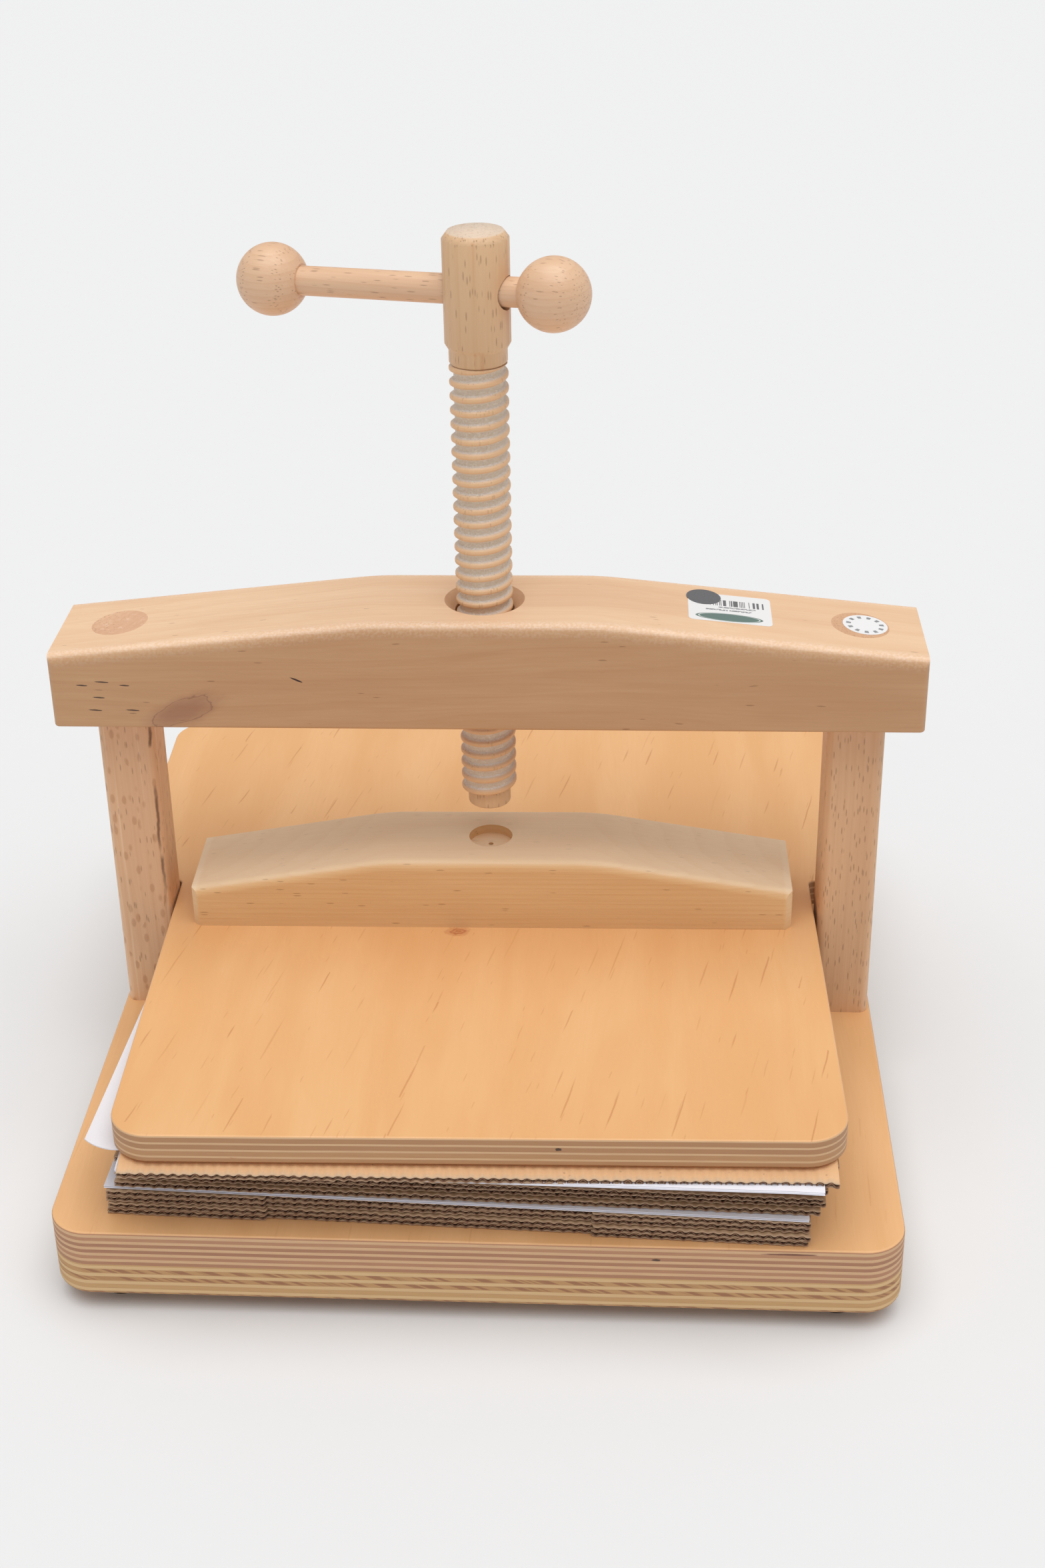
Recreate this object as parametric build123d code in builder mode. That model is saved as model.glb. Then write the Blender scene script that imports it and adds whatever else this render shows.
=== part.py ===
from build123d import *
import math
import os

os.makedirs("parts", exist_ok=True)

# Driving sizes in millimetres. X runs along the beam, Y from front to back, Z up.
# The origin is on the floor, below the middle of the base.

# Rubber feet
foot_height = 9.0
foot_top_diameter = 20.0
foot_bottom_diameter = 18.0
foot_recess_diameter = 10.0
foot_recess_depth = 5.0
foot_hole_diameter = 4.4
foot_spacing_x = 318.0
foot_spacing_y = 338.0
foot_screw_diameter = 4.0
foot_screw_length = 14.0
foot_screw_head_diameter = 7.6
foot_screw_head_height = 2.4
foot_screw_head_round = 1.0

# Base, two plywood boards glued together
base_width = 373.0
base_depth = 378.0
base_board_thickness = 17.5
base_corner_radius = 18.0
base_bottom_round = 3.0
base_top_round = 1.2

# Posts with round tenons at both ends
post_x = 171.5
post_size = 26.6
post_corner_radius = 4.0
post_height = 165.0
upper_tenon_diameter = 26.4
lower_tenon_diameter = 20.0
post_screw_diameter = 6.0
post_screw_length = 62.0
post_screw_head_diameter = 11.5
post_screw_head_height = 3.6
post_screw_head_round = 1.6
post_screw_clearance_diameter = 6.6
washer_diameter = 14.5
washer_thickness = 1.5
counterbore_diameter = 16.0
counterbore_depth = 9.0

# Top beam, flat in the middle and falling away to its ends
beam_length = 400.0
beam_depth = 61.0
beam_end_height = 36.5
beam_crown_height = 52.4
beam_crown_half = 52.0
beam_blend_radius = 160.0
beam_top_round = 5.0
beam_end_round = 2.5
beam_bottom_round = 1.2
beam_bore_diameter = 27.4
countersink_diameter = 37.0
countersink_angle = 90.0

# Press screw, turned from one piece of hardwood
thread_pitch = 6.5
thread_crest_radius = 13.1
thread_root_radius = 11.2
thread_crest_width = 1.9
thread_root_width = 0.8
spigot_diameter = 20.2
spigot_height = 9.0
spigot_end_round = 1.2
thread_length = 209.6
collar_diameter = 25.8
collar_height = 6.6
collar_chamfer = 1.2
head_diameter = 29.2
head_height = 51.6
head_top_chamfer_height = 3.2
head_top_chamfer_width = 2.4
head_bottom_chamfer_height = 3.0
spigot_bottom_z = 155.6
button_diameter = 6.0
button_length = 4.0
button_clearance = 0.05

# Handle bar through the screw's head, leaning a little in its loose hole
handle_height_in_head = 25.6
handle_hole_diameter = 14.9
handle_bar_diameter = 13.1
handle_turn = -18.0
handle_lean = 1.8
knob_diameter = 32.4
knob_flat_diameter = 15.0
left_knob_reach = 97.8
right_knob_reach = 35.3
knob_socket_depth = 12.0

# Upper board, shaped like a T so that its front part passes between the posts
platen_thickness = 14.0
platen_tongue_width = 313.8
platen_rear_width = 371.4
platen_front_y = -187.6
platen_shoulder_y = 17.6
platen_back_y = 189.0
platen_corner_radius = 18.0
platen_notch_radius = 3.0
platen_edge_round = 0.9
platen_turn = 1.15
platen_shift = -0.5

# Pressing bar, loose on the upper board, under the screw
bar_length = 289.0
bar_depth = 52.4
bar_end_height = 20.5
bar_crown_height = 36.2
bar_crown_half = 51.0
bar_blend_radius = 120.0
bar_top_round = 4.5
bar_end_chamfer = 2.8
bar_turn = 0.7
seat_diameter = 21.0
seat_depth = 4.6
pilot_diameter = 2.4
pilot_depth = 4.0

# Corrugated sheets and blotters
board_thickness = 3.5
lower_board_count = 4
middle_board_count = 6
board_width = 306.0
board_depth = 356.0
blotter_thickness = 1.0
lower_blotter_width = 306.0
upper_blotter_width = 301.0
blotter_depth = 350.0
cover_sheet_thickness = 0.5
cover_left = -166.5
cover_back_left = -155.0
cover_right = 135.0
cover_corner_y = -175.8
cover_corner_width = 13.0
cover_arc_x = -161.9
cover_arc_y = -179.4
cover_front = -182.4
cover_back = 26.0

# Paper labels on the beam
label_thickness = 0.15
label_length = 38.2
label_width = 29.8
label_corner_radius = 2.5
label_centre_x = 112.2
label_centre_y = 3.4
dot_diameter = 16.0
dot_centre_x = 100.5
dot_centre_y = 13.8
round_label_diameter = 20.5
round_label_centre_x = 173.8
round_label_centre_y = 0.8

# Heights that follow
base_top_z = foot_height + 2 * base_board_thickness
beam_bottom_z = base_top_z + post_height
lower_stack_z = base_top_z
lower_blotter_z = lower_stack_z + lower_board_count * board_thickness
middle_stack_z = lower_blotter_z + blotter_thickness
upper_blotter_z = middle_stack_z + middle_board_count * board_thickness
top_board_z = upper_blotter_z + blotter_thickness
cover_sheet_z = top_board_z + board_thickness
platen_z = cover_sheet_z + cover_sheet_thickness
bar_z = platen_z + platen_thickness
thread_z = spigot_bottom_z + spigot_height
collar_z = thread_z + thread_length
head_z = collar_z + collar_height
handle_z = head_z + handle_height_in_head
beam_slope = math.degrees(
    math.atan2(beam_crown_height - beam_end_height, beam_length / 2 - beam_crown_half)
)


def crowned_side(length, end_height, crown_height, crown_half, blend_radius):
    """The long side of a bar that is flat in the middle and slopes to its ends."""
    with BuildSketch() as side:
        with BuildLine():
            Polyline(
                (-length / 2, 0),
                (length / 2, 0),
                (length / 2, end_height),
                (crown_half, crown_height),
                (-crown_half, crown_height),
                (-length / 2, end_height),
                close=True,
            )
        make_face()
        fillet(side.vertices().group_by(Axis.Y)[-1], radius=blend_radius)
    return side.sketch


def upper_long_edges(bar, depth, lowest_z):
    """The edges along the front and back of a crowned bar's top."""
    return bar.edges().filter_by(
        lambda edge: abs(abs(edge.center().Y) - depth / 2) < 0.1 and edge.center().Z > lowest_z
    )


def beam_slope_plane(x, y, lift=0.0):
    """A plane lying on the beam's sloping top to the right of the crown."""
    surface_z = beam_bottom_z + beam_end_height
    surface_z += (beam_length / 2 - x) * math.tan(math.radians(beam_slope))
    slope = math.radians(beam_slope)
    along = (math.cos(slope), 0, -math.sin(slope))
    normal = (math.sin(slope), 0, math.cos(slope))
    return Plane(origin=(x, y, surface_z), x_dir=along, z_dir=normal).offset(lift)


def sheet_plane(left, front, turn, z):
    """A plane whose origin is a sheet's front left corner, turned by some degrees."""
    return Plane(origin=(left, front, z)).rotated((0, 0, turn))


# Rubber feet, each with a recess for its screw
foot_places = [
    (side_x * foot_spacing_x / 2, side_y * foot_spacing_y / 2)
    for side_y in (-1, 1)
    for side_x in (-1, 1)
]
foot_names = ["foot_front_left", "foot_front_right", "foot_back_left", "foot_back_right"]
for foot_name, foot_place in zip(foot_names, foot_places):
    with BuildPart() as foot:
        with BuildSketch():
            with Locations(foot_place):
                Circle(foot_bottom_diameter / 2)
        with BuildSketch(Plane.XY.offset(foot_height)):
            with Locations(foot_place):
                Circle(foot_top_diameter / 2)
        loft()
        with Locations(Plane(origin=(*foot_place, 0), x_dir=(1, 0, 0), z_dir=(0, 0, -1))):
            CounterBoreHole(
                radius=foot_hole_diameter / 2,
                counter_bore_radius=foot_recess_diameter / 2,
                counter_bore_depth=foot_recess_depth,
            )
    foot.part.label = foot_name
    export_step(foot.part, f"parts/{foot_name}.step")

# Four pan-head screws that hold the feet
with BuildPart() as foot_screws:
    with BuildSketch(Plane.XY.offset(foot_recess_depth - foot_screw_head_height)):
        with Locations(*foot_places):
            Circle(foot_screw_head_diameter / 2)
    extrude(amount=foot_screw_head_height)
    fillet(foot_screws.edges().group_by(Axis.Z)[0], radius=foot_screw_head_round)
    with BuildSketch(Plane.XY.offset(foot_recess_depth)):
        with Locations(*foot_places):
            Circle(foot_screw_diameter / 2)
    extrude(amount=foot_screw_length)
foot_screws.part.label = "foot_screws"
export_step(foot_screws.part, "parts/foot_screws.step")

# Lower board of the base, drilled for the foot screws and counterbored for the post screws
post_places = [(-post_x, 0), (post_x, 0)]
with BuildPart() as base_lower_board:
    with BuildSketch(Plane.XY.offset(foot_height)):
        RectangleRounded(base_width, base_depth, base_corner_radius)
    extrude(amount=base_board_thickness)
    fillet(base_lower_board.edges().group_by(Axis.Z)[0], radius=base_bottom_round)
    with Locations(Plane(origin=(0, 0, foot_height), x_dir=(1, 0, 0), z_dir=(0, 0, -1))):
        with Locations(*post_places):
            CounterBoreHole(
                radius=post_screw_clearance_diameter / 2,
                counter_bore_radius=counterbore_diameter / 2,
                counter_bore_depth=counterbore_depth,
            )
        with GridLocations(foot_spacing_x, foot_spacing_y, 2, 2):
            Hole(radius=foot_screw_diameter / 2, depth=foot_screw_length - foot_height + foot_recess_depth)
base_lower_board.part.label = "base_lower_board"
export_step(base_lower_board.part, "parts/base_lower_board.step")

# Upper board of the base, bored for the posts' lower tenons
with BuildPart() as base_upper_board:
    with BuildSketch(Plane.XY.offset(foot_height + base_board_thickness)):
        RectangleRounded(base_width, base_depth, base_corner_radius)
        with Locations(*post_places):
            Circle(lower_tenon_diameter / 2, mode=Mode.SUBTRACT)
    extrude(amount=base_board_thickness)
    base_top_outline = base_upper_board.faces().sort_by(Axis.Z)[-1].outer_wire().edges()
    fillet(base_top_outline, radius=base_top_round)
base_upper_board.part.label = "base_upper_board"
export_step(base_upper_board.part, "parts/base_upper_board.step")

# Posts, square with rounded corners, a round tenon through the beam and another into the base
for post_name, side in (("left_post", -1), ("right_post", 1)):
    slope_plane = beam_slope_plane(post_x, 0)
    if side < 0:
        slope_plane = Plane(
            origin=(-slope_plane.origin.X, 0, slope_plane.origin.Z),
            z_dir=(-slope_plane.z_dir.X, 0, slope_plane.z_dir.Z),
        )
    with BuildPart() as post:
        with BuildSketch(Plane.XY.offset(base_top_z)):
            with Locations((side * post_x, 0)):
                RectangleRounded(post_size, post_size, post_corner_radius)
        extrude(amount=post_height)
        with BuildSketch(Plane.XY.offset(beam_bottom_z)):
            with Locations((side * post_x, 0)):
                Circle(upper_tenon_diameter / 2)
        extrude(amount=beam_crown_height)
        split(bisect_by=slope_plane, keep=Keep.BOTTOM)
        with BuildSketch(Plane.XY.offset(base_top_z)):
            with Locations((side * post_x, 0)):
                Circle(lower_tenon_diameter / 2)
        extrude(amount=-base_board_thickness)
        with BuildSketch(Plane.XY.offset(base_top_z - base_board_thickness)):
            with Locations((side * post_x, 0)):
                Circle(post_screw_diameter / 2)
        extrude(amount=post_screw_length - base_board_thickness + counterbore_depth, mode=Mode.SUBTRACT)
    post.part.label = post_name
    export_step(post.part, f"parts/{post_name}.step")

# Washers and screws that hold the posts from below
washer_z = foot_height + counterbore_depth - washer_thickness
with BuildPart() as post_washers:
    with BuildSketch(Plane.XY.offset(washer_z)):
        with Locations(*post_places):
            Circle(washer_diameter / 2)
            Circle(post_screw_clearance_diameter / 2, mode=Mode.SUBTRACT)
    extrude(amount=washer_thickness)
post_washers.part.label = "post_washers"
export_step(post_washers.part, "parts/post_washers.step")

with BuildPart() as post_screws:
    with BuildSketch(Plane.XY.offset(washer_z - post_screw_head_height)):
        with Locations(*post_places):
            Circle(post_screw_head_diameter / 2)
    extrude(amount=post_screw_head_height)
    fillet(post_screws.edges().group_by(Axis.Z)[0], radius=post_screw_head_round)
    with BuildSketch(Plane.XY.offset(washer_z)):
        with Locations(*post_places):
            Circle(post_screw_diameter / 2)
    extrude(amount=post_screw_length)
post_screws.part.label = "post_screws"
export_step(post_screws.part, "parts/post_screws.step")

# Top beam with its countersunk screw bore and the through holes for the tenons
beam_side = crowned_side(
    beam_length, beam_end_height, beam_crown_height, beam_crown_half, beam_blend_radius
)
with BuildPart() as top_beam:
    with BuildSketch(Plane.XZ.offset(-beam_depth / 2)):
        with Locations((0, beam_bottom_z)):
            add(beam_side)
    extrude(amount=beam_depth)
    fillet(upper_long_edges(top_beam, beam_depth, beam_bottom_z + beam_end_height), beam_top_round)
    with BuildSketch(Plane.XY.offset(beam_bottom_z)):
        RectangleRounded(beam_length, beam_depth, beam_end_round)
    extrude(amount=beam_crown_height, mode=Mode.INTERSECT)
    fillet(top_beam.edges().group_by(Axis.Z)[0], radius=beam_bottom_round)
    with BuildSketch(Plane.XY.offset(beam_bottom_z)):
        with Locations(*post_places):
            Circle(upper_tenon_diameter / 2)
    extrude(amount=beam_crown_height, mode=Mode.SUBTRACT)
    with Locations((0, 0, beam_bottom_z + beam_crown_height)):
        CounterSinkHole(
            radius=beam_bore_diameter / 2,
            counter_sink_radius=countersink_diameter / 2,
            counter_sink_angle=countersink_angle,
        )
top_beam.part.label = "top_beam"
export_step(top_beam.part, "parts/top_beam.step")

# Press screw: spigot, thread ridges one pitch apart, collar and drilled head
handle_axis_plane = Plane(
    origin=(0, 0, handle_z), z_dir=Vector(1, 0, 0).rotate(Axis.Z, handle_turn)
)
head_top_z = head_z + head_height
groove_count = math.floor((thread_length - thread_crest_width) / thread_pitch)
groove_mouth = thread_pitch - thread_crest_width
groove_points = (
    (0, -groove_mouth / 2),
    (0, groove_mouth / 2),
    (thread_root_radius - thread_crest_radius, thread_root_width / 2),
    (thread_root_radius - thread_crest_radius, -thread_root_width / 2),
)
with BuildPart() as press_screw:
    with BuildSketch(Plane.XY.offset(thread_z)):
        Circle(thread_crest_radius)
    extrude(amount=thread_length)
    with BuildSketch(Plane.XZ):
        with Locations((thread_crest_radius, thread_z + thread_length / 2)):
            with GridLocations(1, thread_pitch, 1, groove_count):
                Polygon(*groove_points, align=None)
    revolve(axis=Axis.Z, mode=Mode.SUBTRACT)
    with BuildSketch(Plane.XY.offset(spigot_bottom_z)):
        Circle(spigot_diameter / 2)
    extrude(amount=spigot_height)
    fillet(press_screw.edges().group_by(Axis.Z)[0], radius=spigot_end_round)
    with BuildSketch(Plane.XZ):
        with BuildLine():
            Polyline(
                (0, collar_z),
                (collar_diameter / 2 - collar_chamfer, collar_z),
                (collar_diameter / 2, collar_z + collar_chamfer),
                (collar_diameter / 2, head_z),
                (head_diameter / 2, head_z + head_bottom_chamfer_height),
                (head_diameter / 2, head_top_z - head_top_chamfer_height),
                (head_diameter / 2 - head_top_chamfer_width, head_top_z),
                (0, head_top_z),
                close=True,
            )
        make_face()
    revolve(axis=Axis.Z)
    with BuildSketch(handle_axis_plane):
        Circle(handle_hole_diameter / 2)
    extrude(amount=head_diameter, both=True, mode=Mode.SUBTRACT)
    with BuildSketch(Plane.XY.offset(spigot_bottom_z)):
        Circle(button_diameter / 2 + button_clearance)
    extrude(amount=button_length + button_clearance, mode=Mode.SUBTRACT)
press_screw.part.label = "press_screw"
export_step(press_screw.part, "parts/press_screw.step")

# Thrust button in the end of the screw
with BuildPart() as thrust_button:
    with BuildSketch(Plane.XY.offset(spigot_bottom_z)):
        Circle(button_diameter / 2)
    extrude(amount=button_length)
thrust_button.part.label = "thrust_button"
export_step(thrust_button.part, "parts/thrust_button.step")

# Handle bar and its two ball knobs, along the leaning axis through the head
handle_direction = Vector(1, 0, 0).rotate(Axis.Y, -handle_lean).rotate(Axis.Z, handle_turn)
handle_centre = Vector(0, 0, handle_z)
knob_radius = knob_diameter / 2
knob_face_offset = math.sqrt(knob_radius**2 - (knob_flat_diameter / 2) ** 2)
left_end_plane = Plane(
    origin=handle_centre - handle_direction * (left_knob_reach - knob_face_offset + knob_socket_depth),
    z_dir=handle_direction,
)
handle_bar_length = (
    left_knob_reach + right_knob_reach - 2 * knob_face_offset + 2 * knob_socket_depth
)
with BuildPart() as handle_bar:
    with BuildSketch(left_end_plane):
        Circle(handle_bar_diameter / 2)
    extrude(amount=handle_bar_length)
handle_bar.part.label = "handle_bar"
export_step(handle_bar.part, "parts/handle_bar.step")

for knob_name, knob_reach, inward in (
    ("left_knob", -left_knob_reach, 1),
    ("right_knob", right_knob_reach, -1),
):
    knob_centre = handle_centre + handle_direction * knob_reach
    socket_plane = Plane(
        origin=knob_centre + handle_direction * inward * knob_face_offset,
        z_dir=handle_direction * -inward,
    )
    with BuildPart() as knob:
        with Locations(knob_centre):
            Sphere(knob_radius)
        split(bisect_by=socket_plane, keep=Keep.TOP)
        with BuildSketch(socket_plane):
            Circle(handle_bar_diameter / 2)
        extrude(amount=knob_socket_depth, mode=Mode.SUBTRACT)
    knob.part.label = knob_name
    export_step(knob.part, f"parts/{knob_name}.step")

# Upper board
platen_plane = Plane(origin=(platen_shift, 0, platen_z)).rotated((0, 0, platen_turn))
with BuildPart() as platen:
    with BuildSketch(platen_plane) as platen_outline:
        with BuildLine():
            Polyline(
                (-platen_tongue_width / 2, platen_front_y),
                (platen_tongue_width / 2, platen_front_y),
                (platen_tongue_width / 2, platen_shoulder_y),
                (platen_rear_width / 2, platen_shoulder_y),
                (platen_rear_width / 2, platen_back_y),
                (-platen_rear_width / 2, platen_back_y),
                (-platen_rear_width / 2, platen_shoulder_y),
                (-platen_tongue_width / 2, platen_shoulder_y),
                close=True,
            )
        make_face()
        outline_corners = platen_outline.vertices().group_by(Axis.Y)
        fillet(outline_corners[0] + outline_corners[-1], radius=platen_corner_radius)
        notch_corners = platen_outline.vertices().filter_by(
            lambda corner: abs(corner.Y - platen_shoulder_y) < 0.01
        )
        fillet(notch_corners, radius=platen_notch_radius)
    extrude(amount=platen_thickness)
    platen_faces = platen.faces().sort_by(Axis.Z)
    fillet(platen_faces[0].edges() + platen_faces[-1].edges(), radius=platen_edge_round)
platen.part.label = "platen"
export_step(platen.part, "parts/platen.step")

# Pressing bar with the blind seat for the screw's spigot
bar_side = crowned_side(bar_length, bar_end_height, bar_crown_height, bar_crown_half, bar_blend_radius)
with BuildPart() as straight_bar:
    with BuildSketch(Plane.XZ.offset(-bar_depth / 2)):
        with Locations((0, bar_z)):
            add(bar_side)
    extrude(amount=bar_depth)
    fillet(upper_long_edges(straight_bar, bar_depth, bar_z + bar_end_height), bar_top_round)
    with BuildSketch(Plane.XY.offset(bar_z)) as bar_footprint:
        Rectangle(bar_length, bar_depth)
        chamfer(bar_footprint.vertices(), length=bar_end_chamfer)
    extrude(amount=bar_crown_height, mode=Mode.INTERSECT)
    with Locations((0, 0, bar_z + bar_crown_height)):
        CounterBoreHole(
            radius=pilot_diameter / 2,
            counter_bore_radius=seat_diameter / 2,
            counter_bore_depth=seat_depth,
            depth=seat_depth + pilot_depth,
        )
with BuildPart() as pressing_bar:
    add(straight_bar.part.rotate(Axis.Z, bar_turn))
pressing_bar.part.label = "pressing_bar"
export_step(pressing_bar.part, "parts/pressing_bar.step")

# Corrugated boards, from the bottom up: the front left corner's x and y, and the turn in degrees
lower_boards = (
    (-161.2, -176.4, -2.0),
    (-160.4, -177.0, -2.1),
    (-161.0, -176.6, -1.9),
    (-160.6, -177.2, -2.0),
)
middle_boards = (
    (-156.6, -176.4, -1.6),
    (-154.4, -175.6, -1.5),
    (-155.8, -176.6, -1.7),
    (-153.8, -175.8, -1.5),
    (-155.2, -176.8, -1.6),
    (-149.0, -179.6, 0.6),
)
top_board_place = (-150.0, -194.8, 0.8)
corrugated_boards = []
for layer, place in enumerate(lower_boards):
    corrugated_boards.append((f"lower_board_{layer + 1}", place, lower_stack_z + layer * board_thickness))
for layer, place in enumerate(middle_boards):
    corrugated_boards.append((f"middle_board_{layer + 1}", place, middle_stack_z + layer * board_thickness))
corrugated_boards.append(("top_board", top_board_place, top_board_z))
for board_name, place, z_here in corrugated_boards:
    with BuildPart() as board:
        with BuildSketch(sheet_plane(*place, z_here)):
            Rectangle(board_width, board_depth, align=(Align.MIN, Align.MIN))
        extrude(amount=board_thickness)
    board.part.label = board_name
    export_step(board.part, f"parts/{board_name}.step")

# White blotters between the boards
blotters = (
    ("lower_blotter", (-161.4, -176.6, -2.2), lower_blotter_width, lower_blotter_z),
    ("upper_blotter", (-151.6, -191.5, -0.9), upper_blotter_width, upper_blotter_z),
)
for blotter_name, place, blotter_width, z_here in blotters:
    with BuildPart() as blotter:
        with BuildSketch(sheet_plane(*place, z_here)):
            Rectangle(blotter_width, blotter_depth, align=(Align.MIN, Align.MIN))
        extrude(amount=blotter_thickness)
    blotter.part.label = blotter_name
    export_step(blotter.part, f"parts/{blotter_name}.step")

# Cover sheet on top of the stack, cut unevenly, with one rounded front corner
with BuildPart() as cover_sheet:
    with BuildSketch(Plane.XY.offset(cover_sheet_z)):
        with BuildLine():
            rounded_corner = ThreePointArc(
                (cover_left, cover_corner_y),
                (cover_arc_x, cover_arc_y),
                (cover_left + cover_corner_width, cover_front),
            )
            Polyline(
                rounded_corner @ 1,
                (cover_right, cover_front),
                (cover_right, cover_back),
                (cover_back_left, cover_back),
                (cover_left, cover_corner_y),
            )
        make_face()
    extrude(amount=cover_sheet_thickness)
cover_sheet.part.label = "cover_sheet"
export_step(cover_sheet.part, "parts/cover_sheet.step")

# Paper labels lying on the beam's right slope and on the right tenon
with BuildPart() as paper_label:
    with BuildSketch(beam_slope_plane(label_centre_x, label_centre_y)):
        RectangleRounded(label_length, label_width, label_corner_radius)
    extrude(amount=label_thickness)
paper_label.part.label = "paper_label"
export_step(paper_label.part, "parts/paper_label.step")

with BuildPart() as grey_dot:
    with BuildSketch(beam_slope_plane(dot_centre_x, dot_centre_y, lift=label_thickness)):
        Circle(dot_diameter / 2)
    extrude(amount=label_thickness)
grey_dot.part.label = "grey_dot"
export_step(grey_dot.part, "parts/grey_dot.step")

with BuildPart() as round_label:
    with BuildSketch(beam_slope_plane(round_label_centre_x, round_label_centre_y)):
        Circle(round_label_diameter / 2)
    extrude(amount=label_thickness)
round_label.part.label = "round_label"
export_step(round_label.part, "parts/round_label.step")

print("stack", round(cover_sheet_z - base_top_z, 2), "screw top", round(head_z + head_height, 2))
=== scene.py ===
import bpy, bmesh, math, random
from mathutils import Matrix, Vector


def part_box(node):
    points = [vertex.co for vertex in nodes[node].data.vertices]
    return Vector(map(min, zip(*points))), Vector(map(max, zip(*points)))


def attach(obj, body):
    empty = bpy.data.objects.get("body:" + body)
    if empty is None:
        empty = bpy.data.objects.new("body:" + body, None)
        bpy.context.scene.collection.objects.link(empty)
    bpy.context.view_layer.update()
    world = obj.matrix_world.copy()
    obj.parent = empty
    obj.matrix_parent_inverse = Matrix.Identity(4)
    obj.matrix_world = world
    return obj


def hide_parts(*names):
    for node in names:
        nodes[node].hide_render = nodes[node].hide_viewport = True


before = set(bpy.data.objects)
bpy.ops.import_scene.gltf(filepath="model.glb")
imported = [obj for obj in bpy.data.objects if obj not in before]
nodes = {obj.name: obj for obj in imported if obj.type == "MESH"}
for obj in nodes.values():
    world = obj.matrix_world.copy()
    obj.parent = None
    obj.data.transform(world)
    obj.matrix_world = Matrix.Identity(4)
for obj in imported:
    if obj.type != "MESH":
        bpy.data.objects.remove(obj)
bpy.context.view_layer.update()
print("stage: frame loaded,", len(nodes), "nodes")

# Camera, light and floor

view = {
    "place": (0.0661, -0.9154, 0.6761), "pitch": 27.52, "yaw": -4.83, "roll": 1.83,
    "lens": 50.24, "shift": (0.0372, -0.0397),
}


def makeCamera(v):
    pitch, yaw, roll = (math.radians(v[key]) for key in ("pitch", "yaw", "roll"))
    forward = Vector((math.sin(yaw) * math.cos(pitch), math.cos(yaw) * math.cos(pitch), -math.sin(pitch)))
    level = Vector((math.cos(yaw), -math.sin(yaw), 0))
    down = forward.cross(level)
    right = math.cos(roll) * level + math.sin(roll) * down
    up = math.sin(roll) * level - math.cos(roll) * down
    turn = Matrix((right, up, -forward)).transposed().to_4x4()
    data = bpy.data.cameras.new("viewCamera")
    data.lens, data.sensor_width = v["lens"], 36
    data.shift_x, data.shift_y = v["shift"]
    data.clip_end = 60
    camera = bpy.data.objects.new("viewCamera", data)
    camera.matrix_world = Matrix.Translation(v["place"]) @ turn
    bpy.context.collection.objects.link(camera)
    bpy.context.scene.camera = camera


studio = {
    "skyForLight": 0.45, "skySeen": 0.84, "sunStrength": 2.3, "sunLean": -10, "sunSpread": 64,
    "floorSize": 40.0, "floorColour": (0.755, 0.757, 0.76),
}


def makeLights(s):
    world = bpy.data.worlds.new("studioWorld")
    world.use_nodes = True
    tree = world.node_tree
    back = tree.nodes["Background"]
    back.inputs["Color"].default_value = (1.0, 1.0, 1.0, 1)
    path = tree.nodes.new("ShaderNodeLightPath")
    pick = tree.nodes.new("ShaderNodeMix")
    pick.inputs["A"].default_value = s["skyForLight"]
    pick.inputs["B"].default_value = s["skySeen"]
    tree.links.new(path.outputs["Is Camera Ray"], pick.inputs["Factor"])
    tree.links.new(pick.outputs["Result"], back.inputs["Strength"])
    bpy.context.scene.world = world
    sun = bpy.data.lights.new("softTopLight", "SUN")
    sun.energy, sun.angle = s["sunStrength"], math.radians(s["sunSpread"])
    lamp = bpy.data.objects.new("softTopLight", sun)
    lamp.rotation_euler = (math.radians(-s["sunLean"]), math.radians(4), 0)
    bpy.context.collection.objects.link(lamp)
    bpy.context.scene.view_settings.view_transform = "Standard"


# Shader helpers


def put(tree, kind, values=(), settings=None):
    made = tree.nodes.new(kind if kind.startswith("NodeGroup") else "ShaderNode" + kind)
    for key, value in (settings or {}).items():
        setattr(made, key, value)
    pairs = values.items() if isinstance(values, dict) else enumerate(values)
    for key, value in pairs:
        if value is None:
            continue
        if isinstance(value, bpy.types.NodeSocket):
            tree.links.new(value, made.inputs[key])
        else:
            made.inputs[key].default_value = value
    return made


def maths(tree, operation, *values):
    return put(tree, "Math", values, {"operation": operation}).outputs[0]


def times(tree, first, second):
    return maths(tree, "MULTIPLY", first, second)


def plus(tree, first, second):
    return maths(tree, "ADD", first, second)


def minus(tree, first, second):
    return maths(tree, "SUBTRACT", first, second)


def blendColour(tree, share, first, second, mode="MIX"):
    made = tree.nodes.new("ShaderNodeMix")
    made.data_type, made.blend_type = "RGBA", mode
    for socket, value in ((made.inputs[0], share), (made.inputs[6], first), (made.inputs[7], second)):
        if isinstance(value, bpy.types.NodeSocket):
            tree.links.new(value, socket)
        elif isinstance(value, tuple):
            socket.default_value = (*value, 1) if len(value) == 3 else value
        else:
            socket.default_value = value
    return made.outputs[2]


def spread(tree, value, low, high, toLow=0.0, toHigh=1.0):
    made = put(tree, "MapRange", {0: value, 1: low, 2: high, 3: toLow, 4: toHigh})
    made.interpolation_type = "SMOOTHSTEP"
    return made.outputs[0]


def startGroup(name, inputs, outputs):
    tree = bpy.data.node_groups.new(name, "ShaderNodeTree")
    for label, kind, value in inputs:
        socket = tree.interface.new_socket(label, in_out="INPUT", socket_type="NodeSocket" + kind)
        if value is not None:
            socket.default_value = value
    for label, kind in outputs:
        tree.interface.new_socket(label, in_out="OUTPUT", socket_type="NodeSocket" + kind)
    return tree, tree.nodes.new("NodeGroupInput").outputs, tree.nodes.new("NodeGroupOutput").inputs


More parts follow.
